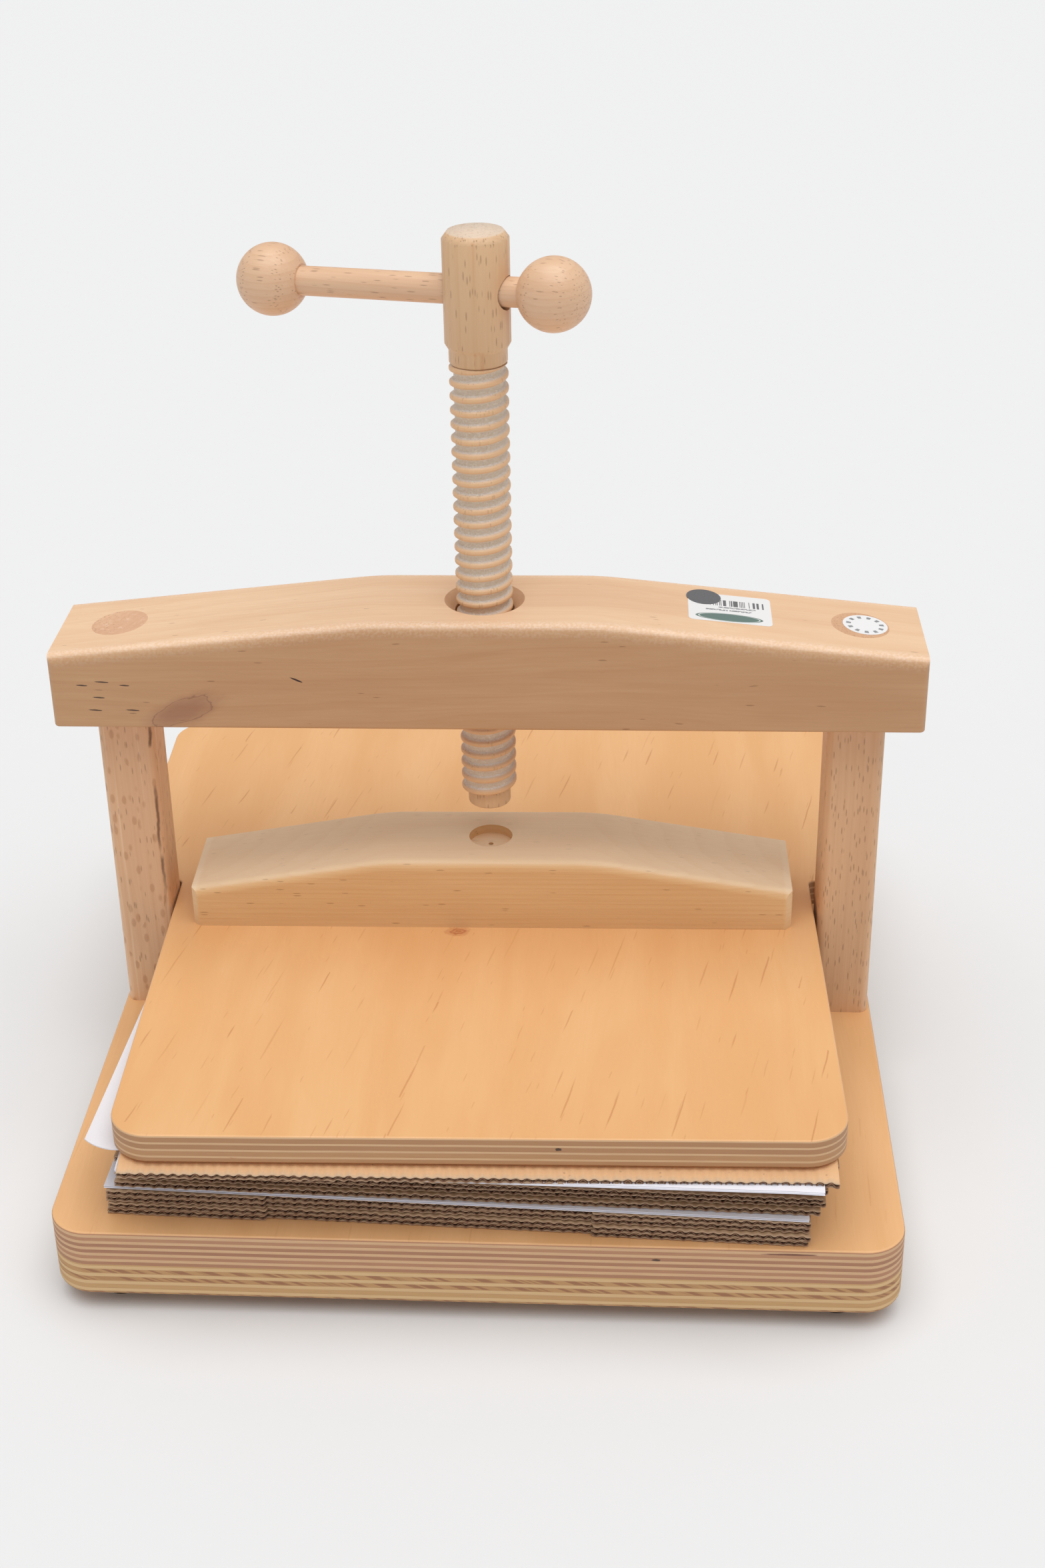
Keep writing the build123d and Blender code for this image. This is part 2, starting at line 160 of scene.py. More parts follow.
def useGroup(tree, group, **values):
    made = tree.nodes.new("ShaderNodeGroup")
    made.node_tree = group
    for key, value in values.items():
        if isinstance(value, bpy.types.NodeSocket):
            tree.links.new(value, made.inputs[key])
        else:
            made.inputs[key].default_value = value
    return made.outputs


# Solid wood with its grain along X: growth rings round a pith line, fibres, soft clouds and pores
def makeWoodGroup():
    tree, given, result = startGroup(
        "solidWood",
        [("Vector", "Vector", None), ("Pith", "Vector", (0, 0.05, 0.03)), ("RingWidth", "Float", 0.004),
         ("Wander", "Float", 0.01), ("Fineness", "Float", 700.0), ("PoreAmount", "Float", 0.3)],
        [("Ring", "Float"), ("Fibre", "Float"), ("Cloud", "Float"), ("Pore", "Float")],
    )
    vector = given["Vector"]
    slow = put(tree, "Mapping", {"Vector": vector, "Scale": (3, 16, 16)}).outputs[0]
    wobble = put(tree, "TexNoise", {"Vector": slow, "Scale": 1.0, "Detail": 3.0, "Roughness": 0.45})
    centred = put(tree, "VectorMath", [wobble.outputs["Color"], (0.5, 0.5, 0.5)], {"operation": "SUBTRACT"})
    moved = put(tree, "VectorMath", {0: centred.outputs[0], "Scale": given["Wander"]}, {"operation": "SCALE"})
    wood = put(tree, "VectorMath", [vector, moved.outputs[0]], {"operation": "ADD"})
    fromPith = put(tree, "VectorMath", [wood.outputs[0], given["Pith"]], {"operation": "SUBTRACT"})
    flat = put(tree, "VectorMath", [fromPith.outputs[0], (0, 1, 1)], {"operation": "MULTIPLY"})
    reach = put(tree, "VectorMath", [flat.outputs[0]], {"operation": "LENGTH"}).outputs["Value"]
    rings = maths(tree, "FRACT", maths(tree, "DIVIDE", reach, given["RingWidth"]))
    rise = maths(tree, "POWER", rings, 2.6)
    fall = spread(tree, rings, 0.93, 1.0, 1.0, 0.0)
    tree.links.new(times(tree, rise, fall), result["Ring"])
    across = put(tree, "CombineXYZ", [18.0, given["Fineness"], given["Fineness"]]).outputs[0]
    fine = put(tree, "VectorMath", [wood.outputs[0], across], {"operation": "MULTIPLY"}).outputs[0]
    fibre = put(tree, "TexNoise", {"Vector": fine, "Scale": 1.0, "Detail": 2.0, "Roughness": 0.6})
    tree.links.new(spread(tree, fibre.outputs[0], 0.28, 0.72), result["Fibre"])
    broad = put(tree, "Mapping", {"Vector": wood.outputs[0], "Scale": (7, 34, 34)}).outputs[0]
    cloud = put(tree, "TexNoise", {"Vector": broad, "Scale": 1.0, "Detail": 4.0, "Roughness": 0.5})
    tree.links.new(spread(tree, cloud.outputs[0], 0.3, 0.7), result["Cloud"])
    cells = put(tree, "Mapping", {"Vector": wood.outputs[0], "Scale": (130, 900, 900)}).outputs[0]
    pores = put(tree, "TexVoronoi", {"Vector": cells, "Scale": 1.0})
    chance = put(tree, "SeparateColor", [pores.outputs["Color"]]).outputs[0]
    here = maths(tree, "LESS_THAN", chance, given["PoreAmount"])
    mark = spread(tree, pores.outputs["Distance"], 0.16, 0.34, 1.0, 0.0)
    tree.links.new(times(tree, here, mark), result["Pore"])
    return tree


# Thin dark dashes scattered over a face, long along X of the given vector
def makeDashGroup():
    tree, given, result = startGroup(
        "scatteredDashes",
        [("Vector", "Vector", None), ("CellSize", "Vector", (0.06, 0.02, 0.02)), ("Thin", "Float", 0.10),
         ("Share", "Float", 0.5), ("Wander", "Float", 0.25)],
        [("Mark", "Float"), ("Chance", "Float")],
    )
    cells = put(tree, "VectorMath", [given["Vector"], given["CellSize"]], {"operation": "DIVIDE"}).outputs[0]
    bend = put(tree, "TexNoise", {"Vector": cells, "Scale": 2.3, "Detail": 2.0})
    shift = put(tree, "VectorMath", [bend.outputs["Color"], (0.5, 0.5, 0.5)], {"operation": "SUBTRACT"})
    moved = put(tree, "VectorMath", {0: shift.outputs[0], "Scale": given["Wander"]}, {"operation": "SCALE"})
    place = put(tree, "VectorMath", [cells, moved.outputs[0]], {"operation": "ADD"}).outputs[0]
    grid = put(tree, "TexVoronoi", {"Vector": place, "Scale": 1.0, "Randomness": 0.9})
    off = put(tree, "VectorMath", [place, grid.outputs["Position"]], {"operation": "SUBTRACT"}).outputs[0]
    parts = put(tree, "SeparateXYZ", [off]).outputs
    chance = put(tree, "SeparateColor", [grid.outputs["Color"]]).outputs
    lengthHere = maths(tree, "MULTIPLY_ADD", chance[1], 0.36, 0.12)
    along = maths(tree, "DIVIDE", parts[0], lengthHere)
    across = maths(tree, "DIVIDE", parts[1], given["Thin"])
    squares = [maths(tree, "POWER", part, 2.0) for part in (along, across)]
    size = maths(tree, "SQRT", plus(tree, *squares))
    mark = spread(tree, size, 0.45, 1.0, 1.0, 0.0)
    here = maths(tree, "LESS_THAN", chance[0], given["Share"])
    tree.links.new(times(tree, mark, here), result["Mark"])
    tree.links.new(chance[2], result["Chance"])
    return tree


# One soft-edged oval at a place, such as a knot
def makeSpotGroup():
    tree, given, result = startGroup(
        "singleSpot",
        [("Vector", "Vector", None), ("Centre", "Vector", (0, 0, 0)),
         ("Size", "Vector", (0.01, 0.01, 0.01)), ("Turn", "Float", 0.0), ("Ragged", "Float", 0.2)],
        [("Mark", "Float"), ("Reach", "Float")],
    )
    off = put(tree, "VectorMath", [given["Vector"], given["Centre"]], {"operation": "SUBTRACT"}).outputs[0]
    turned = put(tree, "VectorRotate", {"Vector": off, "Angle": given["Turn"]}, {"rotation_type": "Y_AXIS"})
    scaled = put(tree, "VectorMath", [turned.outputs[0], given["Size"]], {"operation": "DIVIDE"}).outputs[0]
    reach = put(tree, "VectorMath", [scaled], {"operation": "LENGTH"}).outputs["Value"]
    rough = put(tree, "TexNoise", {"Vector": scaled, "Scale": 1.6, "Detail": 3.0})
    uneven = times(tree, minus(tree, rough.outputs[0], 0.5), given["Ragged"])
    total = plus(tree, reach, uneven)
    tree.links.new(spread(tree, total, 0.75, 1.05, 1.0, 0.0), result["Mark"])
    tree.links.new(total, result["Reach"])
    return tree


# Plies seen on a board's edge: thin pale long-grain plies between thicker cross-grain ones
def makePlyGroup():
    tree, given, result = startGroup(
        "plyEdge",
        [("Vector", "Vector", None), ("Bottom", "Float", 0.0), ("Pitch", "Float", 0.0035),
         ("PaleShare", "Float", 0.3), ("DashSlant", "Float", 0.35), ("DashShare", "Float", 0.4)],
        [("Pale", "Float"), ("Tone", "Float"), ("Dash", "Float"), ("Fibre", "Float"), ("Glue", "Float")],
    )
    parts = put(tree, "SeparateXYZ", [given["Vector"]]).outputs
    around = plus(tree, parts[0], parts[1])
    along = put(tree, "CombineXYZ", [around, 0.0, 0.0]).outputs[0]
    swell = put(tree, "TexNoise", {"Vector": along, "Scale": 9.0})
    lift = times(tree, minus(tree, swell.outputs[0], 0.5), 0.0008)
    height = plus(tree, minus(tree, parts[2], given["Bottom"]), lift)
    level = maths(tree, "DIVIDE", height, given["Pitch"])
    share = maths(tree, "FRACT", level)
    index = maths(tree, "FLOOR", level)
    edge = minus(tree, 1.0, given["PaleShare"])
    pale = spread(tree, minus(tree, share, edge), -0.04, 0.03)
    tree.links.new(pale, result["Pale"])
    seed = put(tree, "TexWhiteNoise", {"W": index}, {"noise_dimensions": "1D"}).outputs[0]
    run = put(tree, "CombineXYZ", [times(tree, around, 22.0), times(tree, index, 7.3), 0.0])
    drift = put(tree, "TexNoise", {"Vector": run.outputs[0], "Scale": 1.0, "Detail": 3.0})
    tone = plus(tree, times(tree, seed, 0.55), times(tree, drift.outputs[0], 0.5))
    tree.links.new(tone, result["Tone"])
    slanted = plus(tree, around, times(tree, height, maths(tree, "DIVIDE", 1.0, given["DashSlant"])))
    row = put(tree, "CombineXYZ", [times(tree, slanted, 150.0), index, 0.0]).outputs[0]
    dashes = put(tree, "TexNoise", {"Vector": row, "Scale": 1.0, "Detail": 1.0})
    middle = spread(tree, maths(tree, "ABSOLUTE", minus(tree, share, 0.33)), 0.16, 0.34, 1.0, 0.0)
    limit = minus(tree, 1.0, times(tree, given["DashShare"], 0.9))
    strong = spread(tree, minus(tree, dashes.outputs[0], times(tree, limit, 0.7)), 0.0, 0.07)
    hasDashes = maths(tree, "GREATER_THAN", seed, 0.35)
    tree.links.new(times(tree, times(tree, middle, strong), hasDashes), result["Dash"])
    stretch = put(tree, "CombineXYZ", [times(tree, around, 70.0), times(tree, height, 2600.0), 0.0])
    fibre = put(tree, "TexNoise", {"Vector": stretch.outputs[0], "Scale": 1.0, "Detail": 2.0})
    tree.links.new(fibre.outputs[0], result["Fibre"])
    nearGlue = maths(tree, "MINIMUM", maths(tree, "ABSOLUTE", minus(tree, share, edge)), share)
    tree.links.new(spread(tree, nearGlue, 0.0, 0.05, 1.0, 0.0), result["Glue"])
    return tree


# Short paper fibres, and specks
def makePaperGroup():
    tree, given, result = startGroup(
        "paperFibre",
        [("Vector", "Vector", None), ("Size", "Float", 1400.0)],
        [("Fibre", "Float"), ("Speck", "Float")],
    )
    fibre = put(tree, "TexNoise",
                {"Vector": given["Vector"], "Scale": given["Size"], "Detail": 4.0, "Roughness": 0.7})
    tree.links.new(spread(tree, fibre.outputs[0], 0.3, 0.7), result["Fibre"])
    specks = put(tree, "TexVoronoi", {"Vector": given["Vector"], "Scale": 420.0})
    chance = put(tree, "SeparateColor", [specks.outputs["Color"]]).outputs[0]
    here = maths(tree, "LESS_THAN", chance, 0.12)
    spot = spread(tree, specks.outputs["Distance"], 0.1, 0.3, 1.0, 0.0)
    tree.links.new(times(tree, here, spot), result["Speck"])
    return tree


solidWood = makeWoodGroup()
scatteredDashes = makeDashGroup()
singleSpot = makeSpotGroup()
plyEdge = makePlyGroup()
paperFibre = makePaperGroup()
print("stage: node groups made")


def startMaterial(name, roughness=0.5, turn=(0, 0, 0), centre=(0, 0, 0)):
    material = bpy.data.materials.new(name)
    material.use_nodes = True
    tree = material.node_tree
    shader = tree.nodes["Principled BSDF"]
    shader.inputs["Roughness"].default_value = roughness
    place = put(tree, "TexCoord").outputs["Object"]
    turnBack = tuple(math.radians(value) for value in turn)
    moved = put(tree, "VectorMath", [place, centre], {"operation": "SUBTRACT"}).outputs[0]
    mapped = put(tree, "Mapping", {"Vector": moved, "Rotation": turnBack}).outputs[0]
    return material, tree, shader, place, mapped


def addBump(tree, shader, height, distance, strength=0.6):
    bump = put(tree, "Bump", {"Height": height, "Distance": distance, "Strength": strength})
    tree.links.new(bump.outputs[0], shader.inputs["Normal"])


# Colours and grain of each solid wooden piece; turn brings the grain onto X
woods = {
    "beam": dict(
        pale=(0.80, 0.52, 0.32), deep=(0.63, 0.345, 0.185), ring=(0.66, 0.36, 0.19), ringShare=0.26, rough=0.46,
        turn=(0, 0, 0), pith=(0, 0.21, 0.06), ringWidth=0.0085, wander=0.035, fineness=620, pores=0.015,
    ),
    "leftPost": dict(
        pale=(0.72, 0.47, 0.30), deep=(0.52, 0.27, 0.155), ring=(0.53, 0.28, 0.15), ringShare=0.25, rough=0.5,
        turn=(0, 90, 0), pith=(0, -0.10, 0.02), ringWidth=0.0040, wander=0.012, fineness=800, pores=0.35,
    ),
    "rightPost": dict(
        pale=(0.70, 0.42, 0.245), deep=(0.55, 0.29, 0.155), ring=(0.54, 0.29, 0.155), ringShare=0.3, rough=0.5,
        turn=(0, 90, 0), pith=(0, -0.02, 0.08), ringWidth=0.0036, wander=0.012, fineness=800, pores=0.75,
    ),
    "pressingBar": dict(
        pale=(0.80, 0.56, 0.34), deep=(0.66, 0.39, 0.19), ring=(0.67, 0.37, 0.17), ringShare=0.3, rough=0.55,
        turn=(0, 0, 0), pith=(0, 0.03, -0.09), ringWidth=0.0026, wander=0.008, fineness=900, pores=0.05,
    ),
    "handle": dict(
        pale=(0.80, 0.55, 0.36), deep=(0.68, 0.40, 0.235), ring=(0.63, 0.36, 0.20), ringShare=0.30, rough=0.42,
        turn=(0, 0, 18), pith=(0, 0.035, 0.02), ringWidth=0.0031, wander=0.006, fineness=900, pores=0.55,
    ),
    "screw": dict(
        pale=(0.80, 0.58, 0.38), deep=(0.66, 0.42, 0.235), ring=(0.62, 0.36, 0.19), ringShare=0.26, rough=0.46,
        turn=(0, 90, 0), pith=(0, 0.045, 0.03), ringWidth=0.0042, wander=0.008, fineness=800, pores=0.45,
    ),
}

# Painted light and shade: how much each colour channel changes on upright faces, and on faces that look up
paintedFaceLight = {
    "beam": ((0.72, 0.65, 0.55), (1.04, 1.10, 1.14)),
    "leftPost": ((1.20, 1.22, 1.16), (1.06, 1.02, 0.99)),
    "rightPost": ((1.12, 1.18, 1.18), (1.0, 1.0, 1.0)),
    "pressingBar": ((1.0, 0.92, 0.77), (1.08, 1.08, 1.04)),
    "handle": ((0.97, 0.94, 0.93), (0.98, 0.96, 0.95)),
    "screw": ((0.95, 0.89, 0.82), (0.96, 0.99, 1.06)),
}


def upwardShare(tree):
    facing = put(tree, "SeparateXYZ", [put(tree, "NewGeometry").outputs["True Normal"]]).outputs
    return spread(tree, facing[2], 0.5, 0.95)


# Painted light and shade: colour factors chosen by which way a face looks
def paintFaceLight(tree, colour, tints):
    tint = blendColour(tree, upwardShare(tree), *tints)
    return blendColour(tree, 1.0, colour, tint, "MULTIPLY")


def paintWood(name):
    w = woods[name]
    material, tree, shader, place, mapped = startMaterial(name + "Wood", w["rough"], w["turn"])
    wood = useGroup(tree, solidWood, Vector=mapped, Pith=w["pith"], RingWidth=w["ringWidth"],
                    Wander=w["wander"], Fineness=w["fineness"], PoreAmount=w["pores"])
    colour = blendColour(tree, times(tree, wood["Cloud"], 0.45), w["pale"], w["deep"])
    colour = blendColour(tree, times(tree, wood["Fibre"], 0.20), colour, w["deep"])
    colour = blendColour(tree, times(tree, wood["Ring"], w["ringShare"]), colour, w["ring"])
    poreColour = tuple(value * 0.52 for value in w["deep"])
    colour = blendColour(tree, times(tree, wood["Pore"], 0.55), colour, poreColour)
    height = minus(tree, times(tree, wood["Fibre"], 0.5), wood["Pore"])
    return material, tree, shader, place, wood, colour, height


def finishWood(tree, shader, colour, height, wood, name, distance=0.00012):
    # Painted light and shade on upright faces and on faces that look up
    tree.links.new(paintFaceLight(tree, colour, paintedFaceLight[name]), shader.inputs["Base Color"])
    sheen = plus(tree, woods[name]["rough"] - 0.06, times(tree, wood["Fibre"], 0.14))
    tree.links.new(sheen, shader.inputs["Roughness"])
    addBump(tree, shader, height, distance)


def dress(material, *names):
    for name in names:
        piece = nodes[name]
        piece.data.materials.clear()
        piece.data.materials.append(material)


# Top beam

beamMarks = {
    "dashes": [(-0.1846, 0.2308, 0.00289), (-0.1751, 0.2326, 0.00357), (-0.1647, 0.2309, 0.00255),
               (-0.1772, 0.2246, 0.00306), (-0.1794, 0.2181, 0.0034), (-0.1619, 0.2182, 0.0034)],
    "knot": (-0.1385, -0.0305, 0.2178), "knotSize": (0.0150, 0.03, 0.0056), "knotTurn": 0.40,
    "dashThickness": (0.002, 0.0004), "crack": (-0.0848, -0.0305, 0.2342), "crackSize": (0.0033, 0.002, 0.0005),
    "front": -0.0305, "crownZ": 0.2614, "crownHalf": 0.052, "fall": 0.107, "round": 0.0052,
}


def makeBeamWood(m):
    material, tree, shader, place, wood, colour, height = paintWood("beam")
    spotty = useGroup(tree, singleSpot, Vector=place, Centre=m["knot"], Size=m["knotSize"], Turn=m["knotTurn"],
                      Ragged=0.8)
    shade = spread(tree, spotty["Reach"], 0.4, 1.7, 0.62, 0.0)
    colour = blendColour(tree, shade, colour, (0.40, 0.185, 0.125))
    rim = spread(tree, maths(tree, "ABSOLUTE", minus(tree, spotty["Reach"], 1.0)), 0.0, 0.06, 0.45, 0.0)
    colour = blendColour(tree, rim, colour, (0.24, 0.09, 0.06))
    for x, z, reach in m["dashes"]:
        dash = useGroup(tree, singleSpot, Vector=place, Centre=(x, m["front"], z),
                        Size=(reach, *m["dashThickness"]), Turn=-0.05, Ragged=0.7)
        colour = blendColour(tree, times(tree, dash["Mark"], 0.9), colour, (0.045, 0.022, 0.015))
    crack = useGroup(tree, singleSpot, Vector=place, Centre=m["crack"], Size=m["crackSize"], Turn=-0.42,
                     Ragged=0.6)
    colour = blendColour(tree, crack["Mark"], colour, (0.05, 0.02, 0.015))
    parts = put(tree, "SeparateXYZ", [place]).outputs
    beyond = maths(tree, "MAXIMUM", minus(tree, maths(tree, "ABSOLUTE", parts[0]), m["crownHalf"]), 0.0)
    below = minus(tree, m["crownZ"], maths(tree, "MULTIPLY_ADD", beyond, m["fall"], parts[2]))
    inside = plus(tree, m["front"], maths(tree, "ABSOLUTE", parts[1]))
    nearEdge = plus(tree, below, times(tree, inside, -1.0))
    fuzz = put(tree, "TexNoise", {"Vector": place, "Scale": 900.0, "Detail": 3.0})
    band = spread(tree, nearEdge, 0.0035, 0.0078, 1.0, 0.0)
    worn = times(tree, band, spread(tree, fuzz.outputs[0], 0.35, 0.7))
    colour = blendColour(tree, times(tree, worn, 0.45), colour, (0.86, 0.66, 0.52))
    finishWood(tree, shader, colour, height, wood, "beam")
    return material


# Posts; the left one has a long crack below the beam

postCrack = {"x": -0.1603, "top": 0.21, "fadeLow": 0.09, "fadeHigh": 0.13}


def makePostWood(name, split=None):
    material, tree, shader, place, wood, colour, height = paintWood(name)
    if split:
        cells = put(tree, "Mapping", {"Vector": place, "Scale": (330, 330, 150)}).outputs[0]
        flecks = put(tree, "TexVoronoi", {"Vector": cells, "Scale": 1.0})
        chance = put(tree, "SeparateColor", [flecks.outputs["Color"]]).outputs[0]
        parts = put(tree, "SeparateXYZ", [place]).outputs
        below = maths(tree, "LESS_THAN", parts[2], split["top"])
        mark = times(tree, times(tree, maths(tree, "LESS_THAN", chance, 0.34), below),
                     spread(tree, flecks.outputs["Distance"], 0.25, 0.5, 0.6, 0.0))
        colour = blendColour(tree, mark, colour, (0.44, 0.215, 0.115))
        upright = put(tree, "Mapping", {"Vector": place, "Scale": (420, 420, 6)}).outputs[0]
        lines = put(tree, "TexNoise", {"Vector": upright, "Scale": 1.0}).outputs[0]
        colour = blendColour(tree, spread(tree, lines, 0.58, 0.72, 0.0, 0.4), colour, (0.80, 0.60, 0.43))
        weave = put(tree, "TexNoise", {"Vector": place, "Scale": 60.0, "Detail": 4.0})
        line = plus(tree, parts[0], times(tree, minus(tree, weave.outputs[0], 0.5), 0.0035))
        near = spread(tree, maths(tree, "ABSOLUTE", minus(tree, line, split["x"])), 0.0002, 0.0010, 1.0, 0.0)
        gaps = spread(tree, put(tree, "TexNoise", {"Vector": place, "Scale": 45.0}).outputs[0], 0.42, 0.52)
        high = times(tree, spread(tree, parts[2], split["fadeLow"], split["fadeHigh"]), below)
        crack = times(tree, times(tree, near, gaps), high)
        colour = blendColour(tree, times(tree, crack, 0.8), colour, (0.10, 0.04, 0.028))
    finishWood(tree, shader, colour, height, wood, name)
    return material


# Press screw and handle

screwPaint = {
    "crest": 0.0127, "root": 0.0114, "polishFrom": 0.0121, "polishTo": 0.0129,
    "threadLow": 0.1648, "threadHigh": 0.3742, "headTop": 0.4318,
}


def makeScrewWood(s):
    material, tree, shader, place, wood, colour, height = paintWood("screw")
    parts = put(tree, "SeparateXYZ", [place]).outputs
    flat = put(tree, "VectorMath", [place, (1, 1, 0)], {"operation": "MULTIPLY"}).outputs[0]
    reach = put(tree, "VectorMath", [flat], {"operation": "LENGTH"}).outputs["Value"]
    onThread = times(tree, maths(tree, "GREATER_THAN", parts[2], s["threadLow"]),
                     maths(tree, "LESS_THAN", parts[2], s["threadHigh"]))
    rough = put(tree, "TexNoise", {"Vector": place, "Scale": 1300.0, "Detail": 4.0, "Roughness": 0.75})
    groove = times(tree, spread(tree, reach, s["root"], s["crest"], 1.0, 0.0), onThread)
    torn = times(tree, groove, spread(tree, rough.outputs[0], 0.3, 0.62))
    crest = times(tree, spread(tree, reach, s["polishFrom"], s["polishTo"]), onThread)
    colour = blendColour(tree, times(tree, crest, 0.5), colour, (0.88, 0.56, 0.32))
    colour = blendColour(tree, times(tree, groove, 0.65), colour, (0.92, 0.80, 0.67))
    colour = blendColour(tree, times(tree, torn, 0.55), colour, (0.95, 0.90, 0.84))
    streakAt = put(tree, "Mapping", {"Vector": place, "Scale": (240, 240, 5)}).outputs[0]
    streak = put(tree, "TexNoise", {"Vector": streakAt, "Scale": 1.0, "Detail": 2.0})
    head = maths(tree, "GREATER_THAN", parts[2], s["threadHigh"])
    streaky = times(tree, spread(tree, streak.outputs[0], 0.56, 0.68, 0.0, 0.5), head)
    colour = blendColour(tree, streaky, colour, (0.60, 0.30, 0.13))
    top = spread(tree, parts[2], s["headTop"], s["headTop"] + 0.0005, 0.0, 0.45)
    colour = blendColour(tree, top, colour, (0.84, 0.70, 0.56))
    rise = times(tree, torn, 2.4)
    finishWood(tree, shader, colour, plus(tree, height, rise), wood, "screw", 0.0002)
    return material


# The thread is swept as a helix; head, collar and spigot are cut from a copy of the CAD solid
thread = {
    "pitch": 0.0065, "crest": 0.0131, "depth": 0.0020, "crestShare": 0.16, "rootShare": 0.74,
    "points": 16, "steps": 56, "low": 0.1646, "high": 0.3742, "lap": 0.0003,
}


def threadReach(t, share):
    away = abs(share - 0.5) * 2
    fall = min(1.0, max(0.0, (away - t["crestShare"]) / (t["rootShare"] - t["crestShare"])))
    return t["crest"] - t["depth"] * (0.5 - 0.5 * math.cos(math.pi * fall))


def cutAndClose(bm, height, keepAbove):
    geometry = bm.verts[:] + bm.edges[:] + bm.faces[:]
    bmesh.ops.bisect_plane(bm, geom=geometry, dist=1e-7, plane_co=(0, 0, height), plane_no=(0, 0, 1),
                           clear_outer=not keepAbove, clear_inner=keepAbove)
    rim = [edge for edge in bm.edges if edge.is_boundary]
    bmesh.ops.contextual_create(bm, geom=rim)


def sweepThread(t):
    bm = bmesh.new()
    low, high = t["low"] - t["lap"], t["high"] + t["lap"]
    turns = math.ceil((high - low) / t["pitch"]) + 1
    line = []
    for step in range(t["points"] + 1):
        share = step / t["points"]
        line.append(bm.verts.new((threadReach(t, share), 0, low + (share - 1) * t["pitch"])))
    edges = [bm.edges.new(pair) for pair in zip(line, line[1:])]
    bmesh.ops.spin(bm, geom=line + edges, cent=(0, 0, 0), axis=(0, 0, 1), angle=turns * 2 * math.pi,
                   dvec=(0, 0, t["pitch"] / t["steps"]), steps=turns * t["steps"], use_merge=False)
    bmesh.ops.remove_doubles(bm, verts=bm.verts[:], dist=0.00002)
    cutAndClose(bm, low, True)
    cutAndClose(bm, high, False)
    bmesh.ops.recalc_face_normals(bm, faces=bm.faces[:])
    return bm


def cutFromScrew(height, keepAbove):
    bm = bmesh.new()
    bm.from_mesh(nodes["press_screw"].data)
    bmesh.ops.remove_doubles(bm, verts=bm.verts[:], dist=0.00001)
    cutAndClose(bm, height, keepAbove)
    bmesh.ops.recalc_face_normals(bm, faces=bm.faces[:])
    return bm


def makeScrew(t, wood):
    mesh = bpy.data.meshes.new("turnedScrew")
    whole = sweepThread(t)
    whole.to_mesh(mesh)
    for height, keepAbove in ((t["high"] + 0.00005, True), (t["low"] - 0.00005, False)):
        part = cutFromScrew(height, keepAbove)
        spare = bpy.data.meshes.new("screwPart")
        part.to_mesh(spare)
        whole.from_mesh(spare)
        bpy.data.meshes.remove(spare)
        part.free()
    whole.to_mesh(mesh)
    whole.free()
    mesh.polygons.foreach_set("use_smooth", [True] * len(mesh.polygons))
    mesh.set_sharp_from_angle(angle=math.radians(38))
    mesh.materials.clear()
    mesh.materials.append(wood)
    piece = bpy.data.objects.new("turnedScrew", mesh)
    bpy.context.collection.objects.link(piece)
    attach(piece, "press_screw")
    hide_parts("press_screw")


def makeHandleWood():
    material, tree, shader, place, wood, colour, height = paintWood("handle")
    finishWood(tree, shader, colour, height, wood, "handle")
    return material


def makeBarWood():
    material, tree, shader, place, wood, colour, height = paintWood("pressingBar")
    parts = put(tree, "SeparateXYZ", [place]).outputs
    # Painted highlight: faces that look up are blended towards a pale cream
    colour = blendColour(tree, times(tree, upwardShare(tree), 0.45), colour, (0.80, 0.66, 0.50))
    nearEnd = spread(tree, maths(tree, "ABSOLUTE", parts[0]), 0.1405, 0.1425, 0.0, 0.25)
    colour = blendColour(tree, nearEnd, colour, (0.88, 0.76, 0.60))
    finishWood(tree, shader, colour, height, wood, "pressingBar")
    return material


# Plywood boards

boards = {
    "platen": dict(
        bottom=0.0850, pitch=0.0035, pale=0.30, slant=0.9, dashes=0.0, streaks=0.20, gloss=0.36,
        light=(0.55, 0.305, 0.145), dark=(0.41, 0.21, 0.10), cream=(0.68, 0.44, 0.25),
        face=(0.79, 0.455, 0.21), faceDeep=(0.73, 0.385, 0.155), faceMarks=0.5, dashTurn=-78,
    ),
    "upperBase": dict(
        bottom=0.0265, pitch=0.0033, pale=0.46, slant=0.5, dashes=0.0, streaks=0.50, gloss=0.42,
        light=(0.53, 0.28, 0.15), dark=(0.37, 0.175, 0.10), cream=(0.69, 0.44, 0.25),
        face=(0.80, 0.46, 0.215), faceDeep=(0.72, 0.385, 0.16), faceMarks=0.18, dashTurn=-88,
    ),
    "lowerBase": dict(
        bottom=0.0090, pitch=0.0042, pale=0.42, slant=0.42, dashes=0.75, streaks=0.30, gloss=0.5,
        light=(0.62, 0.385, 0.175), dark=(0.49, 0.265, 0.115), cream=(0.70, 0.48, 0.25),
        face=(0.70, 0.40, 0.19), faceDeep=(0.60, 0.30, 0.13), faceMarks=0.2, dashTurn=-88,
    ),
}


